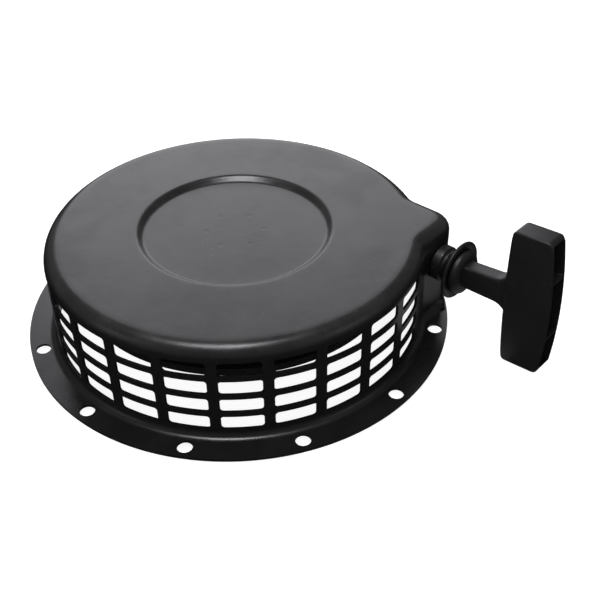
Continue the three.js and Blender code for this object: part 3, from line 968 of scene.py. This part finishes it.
def grip_body(sizes):
    """The T-handle: bowed grip, stem with wide fillets, and round seating collar."""
    half = sizes.long / 2
    corner = 3.2 * MM
    palm = sizes.palm
    back = sizes.palm + sizes.depth
    outline = bowed(back, 3.5 * MM, -half + corner, half - corner, half)
    outline += arc((back - corner, half - corner), corner, 0, 90, 6)[1:]
    outline += arc((palm + corner, half - corner), corner, 90, 180, 6)
    outline += bowed(palm, -1.5 * MM, half - 2 * corner, -half + 2 * corner, half)
    outline += arc((palm + corner, -half + corner), corner, 180, 270, 6)
    outline += arc((back - corner, -half + corner), corner, 270, 360, 6)[:-1]
    body = upright(outline, sizes.thick, 1.3 * MM)
    fillet = 10 * MM
    root = 8.2 * MM
    tip = 7.2 * MM
    end = 113 * MM
    buried = palm + 5 * MM
    stem = [(end, -tip)]
    stem += arc((palm - fillet, -root - fillet), fillet, 90, 0, 10)
    stem += [(buried, -root - fillet), (buried, root + fillet)]
    stem += arc((palm - fillet, root + fillet), fillet, 0, -90, 10)
    stem += [(end, tip)]
    neck = upright(stem, 10.8 * MM, 1.6 * MM, 3)
    collar = [(0, 106.9), (7, 106.9), (7.6, 107.2), (13.2, 112.4), (13.6, 113)]
    collar += [(13.6, 115.5), (13.2, 116.2), (11.2, 117.6), (10.4, 117.8), (0, 117.8)]
    return combined(body, [neck, turned(millimetres(collar), 96, on_rope=True)], "UNION")


class STARTER_OT_grip(bpy.types.Operator):
    """Mould the T-handle with its ribbed hollow back"""

    bl_idname = "starter.grip"
    bl_label = "Grip"

    def execute(self, context):
        sizes = context.scene.starter_grip
        corner = 0.8 * MM
        half = sizes.long / 2 - sizes.wall - corner
        side = sizes.thick / 2 - sizes.wall
        rib = 0.75 * MM
        bottom = sizes.palm + 7.5 * MM
        behind = sizes.palm + 45 * MM
        spans = [(-half, -sizes.rib - rib), (-sizes.rib + rib, sizes.rib - rib), (sizes.rib + rib, half)]
        cutters = []
        for low, high in spans:
            near = (bottom, ROPE_Y - side, ROPE_Z + low)
            far = (behind, ROPE_Y + side, ROPE_Z + high)
            cutters.append(box(near, far, corner))
        bore = 3.6 * MM
        bore_start = (100 * MM, ROPE_Y, ROPE_Z)
        bore_end = (160 * MM, ROPE_Y, ROPE_Z)
        cutters.append(rod(bore, bore_start, bore_end, 48))
        bm = combined(grip_body(sizes), cutters, "DIFFERENCE")
        bmesh.ops.transform(bm, matrix=seated(sizes), verts=bm.verts)
        add_piece("t_grip", bm, "plastic", "grip", "grip", 0.22 * MM, 1)
        return {"FINISHED"}


# ---- reel ----


class STARTER_OT_reel(bpy.types.Operator):
    """Mould the rope reel with its ribbed lower flange"""

    bl_idname = "starter.reel"
    bl_label = "Reel"

    def execute(self, context):
        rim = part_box("reel")[1][0] / MM
        hub = 19
        lip = 30.3
        outline = [(11.4, 27.6), (hub - 0.6, 27.6), (hub, 28.2), (hub, 34.3), (hub + 0.6, 34.9)]
        outline += [(48.4, 34.9), (49, 34.3), (49, 32), (49.5, 31.5), (52, 31.5), (52.4, 32.1)]
        outline += [(94.6, 32.1), (95, 31.7), (95.1, lip + 0.4), (95.5, lip)]
        outline += [(rim - 0.4, lip), (rim, lip + 0.4), (rim, 33.9), (rim - 0.8, 34.6)]
        outline += [(58.6, 36), (58, 36.5), (58, 42.5), (58.6, 43)]  # groove that holds the rope
        outline += [(rim - 0.8, 44.4), (rim, 45.1), (rim, 46.3), (rim - 0.7, 47)]
        outline += [(57.1, 47), (56.5, 47.6), (56.5, 49.5), (56, 50), (54.1, 50), (53.6, 49.5)]
        outline += [(53.6, 39.4), (53.1, 38.9), (11.4, 38.9)]
        steps = 144
        bm = turned(millimetres(outline), steps)
        ribs = []
        for face in bm.faces:
            middle = face.calc_center_median()
            radius = math.hypot(middle.x, middle.y)
            sector = math.degrees(math.atan2(middle.y, middle.x)) // (360 / steps)
            on_web = face.normal.z < -0.9 and 53 * MM < radius < 90 * MM
            if on_web and sector % 9 == 0:
                ribs.append(face)
        made = bmesh.ops.extrude_face_region(bm, geom=ribs)["geom"]
        raised = [item for item in made if isinstance(item, bmesh.types.BMVert)]
        rib_height = 0.6 * MM
        bmesh.ops.translate(bm, verts=raised, vec=(0, 0, -rib_height))
        bmesh.ops.delete(bm, geom=[f for f in ribs if f.is_valid], context="FACES_ONLY")
        add_piece("rope_reel", outward(bm), "reel", "reel", "reel")
        return {"FINISHED"}


# ---- rope ----

CORD_STEPS = 72  # points in one turn of the rope on the reel, and in the knot
KNOT_PLACE = 163.1 * MM  # how far along the rope its knot in the grip is


def tube(points, radius, closed=False):
    """A round cord along a list of points, as a bmesh."""
    curve = bpy.data.curves.new("cord_line", "CURVE")
    curve.dimensions = "3D"
    curve.bevel_depth = radius
    curve.bevel_resolution = 5
    curve.use_fill_caps = not closed
    spline = curve.splines.new("POLY")
    spline.points.add(len(points) - 1)
    for point, co in zip(spline.points, points):
        point.co = (*co, 1)
    spline.use_cyclic_u = closed
    obj = bpy.data.objects.new("cord_line", curve)
    bpy.context.scene.collection.objects.link(obj)
    bpy.context.view_layer.update()
    bm = bmesh.new()
    bm.from_mesh(obj.evaluated_get(bpy.context.evaluated_depsgraph_get()).to_mesh())
    bpy.data.curves.remove(curve)
    return outward(bm)


def knot_line(centre, size):
    """A pulled-tight overhand knot about a centre, with its plane square to the rope."""
    points = []
    for i in range(CORD_STEPS):
        t = FULL * i / CORD_STEPS
        y, z = polar((2 + math.cos(3 * t)) / 3 * size, math.degrees(2 * t))
        points.append(Vector(centre) + Vector((math.sin(3 * t) * size * 0.7, y, z)))
    return points


class STARTER_OT_rope(bpy.types.Operator):
    """Wind the rope on the reel and lead it out to its knot in the grip"""

    bl_idname = "starter.rope"
    bl_label = "Rope"

    def execute(self, context):
        rope = context.scene.starter_rope
        spiral = []
        for i in range(rope.turns * CORD_STEPS + 1):
            left = rope.turns - i / CORD_STEPS
            spiral.append((*polar(rope.outer_turn - rope.step * left, 90 + 360 * left), ROPE_Z))
        add_piece("rope_turns", tube(spiral, rope.radius), "winding", "reel", "rope_winding")

        seat = seated(context.scene.starter_grip)
        straight = [(x * MM, ROPE_Y, ROPE_Z) for x in range(0, 97, 4)]
        dip = [(x * MM, ROPE_Y, ROPE_Z - drop * MM) for x, drop in ((99, 0.15), (101.5, 0.45), (104, 0.72))]
        tipped = [seat @ Vector((x * MM, ROPE_Y, ROPE_Z)) for x in (107, 115, 125, 140, 157.9)]
        lead = tube([*straight, *dip, *tipped], rope.radius)
        piece = add_piece("rope_straight", lead, "rope", "rope_end", "rope_lead", blended=True)
        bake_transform(piece)

        knot = [seat @ point for point in knot_line((KNOT_PLACE, ROPE_Y, ROPE_Z), 2.6 * MM)]
        squeezed = 2.2 * MM
        knotted = tube(knot, squeezed, closed=True)
        add_piece("knot_in_grip", knotted, "rope", "rope_end", "rope_handle_knot")
        return {"FINISHED"}


# ---- turned hardware ----


class STARTER_OT_hardware(bpy.types.Operator):
    """Turn the post plate, bush, washers, spring case and centre bolt"""

    bl_idname = "starter.hardware"
    bl_label = "Turned hardware"

    def execute(self, context):
        plate_low, plate_high = (v[2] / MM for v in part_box("post_plate"))
        case_low, case_high = (v[2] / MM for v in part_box("spring_case"))
        cover_low, cover_high = (v[2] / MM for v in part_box("spring_cover"))
        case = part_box("spring_case")[1][0] / MM
        floor = case_low + 1
        mouth = 15.8
        pan = [(mouth, case_low), (case - 1, case_low), (case, floor), (case, case_high)]
        pan += [(case - 1, case_high), (case - 1, floor + 0.6), (case - 1.6, floor), (mouth, floor)]
        pieces = [
            ("post_carrier", "post_plate", "housing", "zinc", washer(6.3, 24, plate_low, plate_high)),
            ("bearing_bush", "reel_bush", "reel", "bronze", washer(9.2, 11.1, 27.9, 38.6)),
            ("thrust_ring", "thrust_washer", "housing", "zinc", washer(9.4, 15.2, 39.3, 40.4)),
            ("spring_lid", "spring_cover", "reel", "zinc", washer(14, case, cover_low, cover_high)),
            ("friction_ring", "friction_washer", "housing", "zinc", washer(4.3, 9.4, 22.6, 24.1)),
            ("spring_pan", "spring_case", "reel", "zinc", pan),
        ]
        for name, node, body, finish, outline in pieces:
            add_piece(name, turned(millimetres(outline), 96), finish, body, node, 0.2 * MM)
        add_piece("clamp_bolt", self.bolt(), "zinc", "housing", "centre_bolt")
        return {"FINISHED"}

    def bolt(self):
        """A flanged hexagon bolt with its head downwards."""
        head_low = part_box("centre_bolt")[0][2] / MM
        shank = turned(millimetres([(0, 20), (3.2, 20), (3.2, 41), (0, 41)]), 48)
        flange = turned(millimetres([(0, 20.9), (8.2, 20.9), (8.4, 21.4), (8.4, 22.3), (0, 22.3)]), 64)
        corners = millimetres([polar(7.4, 60 * i) for i in range(6)])
        hexagon = flat(corners, head_low * MM, 21.2 * MM)
        cone = [(0, head_low), (6.3, head_low), (7.6, head_low + 0.9), (7.6, 22), (0, 22)]
        head = combined(hexagon, [turned(millimetres(cone), 64)], "INTERSECT")
        return combined(head, [flange, shank], "UNION")


class STARTER_OT_kept_nodes(bpy.types.Operator):
    """Give each frame node that shows as it is its own finish"""

    bl_idname = "starter.kept_nodes"
    bl_label = "Kept nodes"

    def execute(self, context):
        finishes = {
            "reel_post": "zinc",
            "rewind_spring": "spring",
            "rope_reel_knot": "winding",
            "pawl_a": "zinc",
            "pawl_b": "zinc",
            "pawl_pin_a": "zinc",
            "pawl_pin_b": "zinc",
            "pawl_spring_a": "spring",
            "pawl_spring_b": "spring",
            "ratchet_guide": "zinc",
            "friction_spring": "spring",
            "knot_washer": "zinc",
        }
        for node, finish in finishes.items():
            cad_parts[node].material_slots[0].material = finished(finish)
        return {"FINISHED"}


# ---- stage ----

BLACK = (0, 0, 0, 1)
WHITE = (1, 1, 1, 1)
FLOOR_Z = CAD_BOX[0][2] - 0.5 * MM  # just under the lowest point of the handle
CARD_LOW = (0.108, 0.06)
CARD_HIGH = (0.155, 0.14)


class STARTER_OT_stage(bpy.types.Operator):
    """Set the pale floor, the soft lights and the camera"""

    bl_idname = "starter.stage"
    bl_label = "Stage"

    def execute(self, context):
        self.floor()
        self.bounce_card()
        self.sky(context)
        context.scene.view_settings.view_transform = "Standard"
        self.light("overhead", (0.03, -0.2, 1.3), (0, 0, 0), 0.4, 10.8)
        self.light("back_panel", (-1.2, 1.15, 0.8), (0, 0, 0.05), 1.3, 12.3)
        self.light("left_panel", (-0.6, -1.3, 0.75), (0, 0, 0.03), 0.6, 0.8)
        self.light("right_panel", (1.3, 0.35, 0.8), (0.08, 0.05, 0.03), 0.6, 0.8)
        self.camera(context)
        return {"FINISHED"}

    def floor(self):
        """A pale floor that curves up into a round backdrop far away."""
        finish = Finish("pale_floor", Roughness=0.9, Specular_IOR_Level=0.1)
        soft = finish.noise(finish.place(), 3, 2) * 0.02 + 0.4
        finish.surface(
            Base_Color=finish.mixed(BLACK, WHITE, soft),
            Emission_Color=WHITE,
            Emission_Strength=0.88,
        )
        wall_radius = 8
        curve = 2
        flat_radius = wall_radius - curve
        outline = [(0, FLOOR_Z), (flat_radius, FLOOR_Z)]
        outline += arc((flat_radius, FLOOR_Z + curve), curve, -90, 0, 8)
        outline += [(wall_radius, 9)]
        bm = turned(outline, 64)
        bmesh.ops.reverse_faces(bm, faces=bm.faces)
        self.stage_piece("floor", bm, finish.material)

    def bounce_card(self):
        """A dim card on the floor by the nose, seen only in reflections."""
        card = Finish("bounce_card", Base_Color=BLACK, Specular_IOR_Level=0)
        card.surface(Emission_Color=WHITE, Emission_Strength=0.33)
        corners = [CARD_LOW, (CARD_HIGH[0], CARD_LOW[1]), CARD_HIGH, (CARD_LOW[0], CARD_HIGH[1])]
        bm = flat(corners, FLOOR_Z + 0.1 * MM, FLOOR_Z + 0.2 * MM)
        obj = self.stage_piece("bounce_card", bm, card.material)
        obj.visible_camera = False

    def stage_piece(self, name, bm, material):
        """A piece of the stage: the floor scatters light, the card shows in reflections."""
        obj = as_object(name, bm)
        obj.data.materials.append(material)
        obj.visible_glossy = name == "bounce_card"
        obj.visible_diffuse = name == "floor"
        obj.visible_shadow = False
        return obj

    def sky(self, context):
        """A pale sky over a dark ground, which light the object from all round."""
        world = bpy.data.worlds.new("studio")
        world.use_nodes = True
        context.scene.world = world
        nodes = world.node_tree.nodes
        links = world.node_tree.links
        direction = nodes.new("ShaderNodeTexCoord")
        split = nodes.new("ShaderNodeSeparateXYZ")
        horizon = nodes.new("ShaderNodeValToRGB")
        ground, sky = horizon.color_ramp.elements
        ground.position = 0.0
        ground.color = (0.02, 0.02, 0.02, 1)
        sky.position = 0.12
        sky.color = (0.62, 0.62, 0.63, 1)
        background = nodes["Background"]
        links.new(direction.outputs["Generated"], split.inputs[0])
        links.new(split.outputs["Z"], horizon.inputs[0])
        links.new(horizon.outputs[0], background.inputs["Color"])
        background.inputs["Strength"].default_value = 0.26

    def light(self, name, place, target, size, power):
        """A square light panel that faces a target."""
        data = bpy.data.lights.new(name, "AREA")
        data.color = (0.965, 0.955, 1)
        data.shape = "SQUARE"
        data.size = size
        data.energy = power
        obj = bpy.data.objects.new(name, data)
        bpy.context.scene.collection.objects.link(obj)
        obj.location = place
        obj.rotation_euler = (Vector(target) - Vector(place)).to_track_quat("-Z", "Y").to_euler()

    def camera(self, context):
        """A camera 4.7 flange radii from the drum, looking down on it, slightly rolled."""
        elevation = 38.55
        azimuth = -43.8
        distance = 4.72 * context.scene.starter_housing.flange
        data = bpy.data.cameras.new("view")
        data.sensor_width = 36
        data.lens = 58.05
        data.clip_start = 0.01
        obj = bpy.data.objects.new("view", data)
        context.scene.collection.objects.link(obj)
        level, height = polar(distance, elevation)
        place = Vector((*polar(level, azimuth), height))
        looking = (-place).to_track_quat("-Z", "Y").to_matrix().to_4x4()
        pan = Matrix.Rotation(math.radians(-3.56), 4, "Y")
        tilt = Matrix.Rotation(math.radians(0.235), 4, "X")
        roll = Matrix.Rotation(math.radians(-3.65), 4, "Z")
        obj.matrix_world = Matrix.Translation(place) @ looking @ pan @ tilt @ roll
        context.scene.camera = obj


# ---- add-on ----

PIECES = (
    STARTER_OT_stage,
    STARTER_OT_housing,
    STARTER_OT_rope_guide,
    STARTER_OT_grip,
    STARTER_OT_reel,
    STARTER_OT_rope,
    STARTER_OT_hardware,
    STARTER_OT_kept_nodes,
)


class STARTER_PT_pieces(bpy.types.Panel):
    """Sidebar list of the starter's pieces"""

    bl_idname = "STARTER_PT_pieces"
    bl_label = "Recoil Starter"
    bl_space_type = "VIEW_3D"
    bl_region_type = "UI"
    bl_category = "Starter"

    def draw(self, context):
        for piece in PIECES:
            self.layout.operator(piece.bl_idname)


GROUPS = {
    "starter_housing": HousingSizes,
    "starter_rope": RopeSizes,
    "starter_grip": GripSizes,
    "starter_colours": Colours,
}


def register():
    for cls in (*GROUPS.values(), *PIECES, STARTER_PT_pieces):
        bpy.utils.register_class(cls)
    for name, group in GROUPS.items():
        setattr(bpy.types.Scene, name, PointerProperty(type=group))


def unregister():
    for name in GROUPS:
        delattr(bpy.types.Scene, name)
    for cls in (STARTER_PT_pieces, *reversed(PIECES), *GROUPS.values()):
        bpy.utils.unregister_class(cls)


def main():
    register()
    for piece in PIECES:
        group, name = piece.bl_idname.split(".")
        getattr(getattr(bpy.ops, group), name)()


if __name__ == "__main__":
    main()
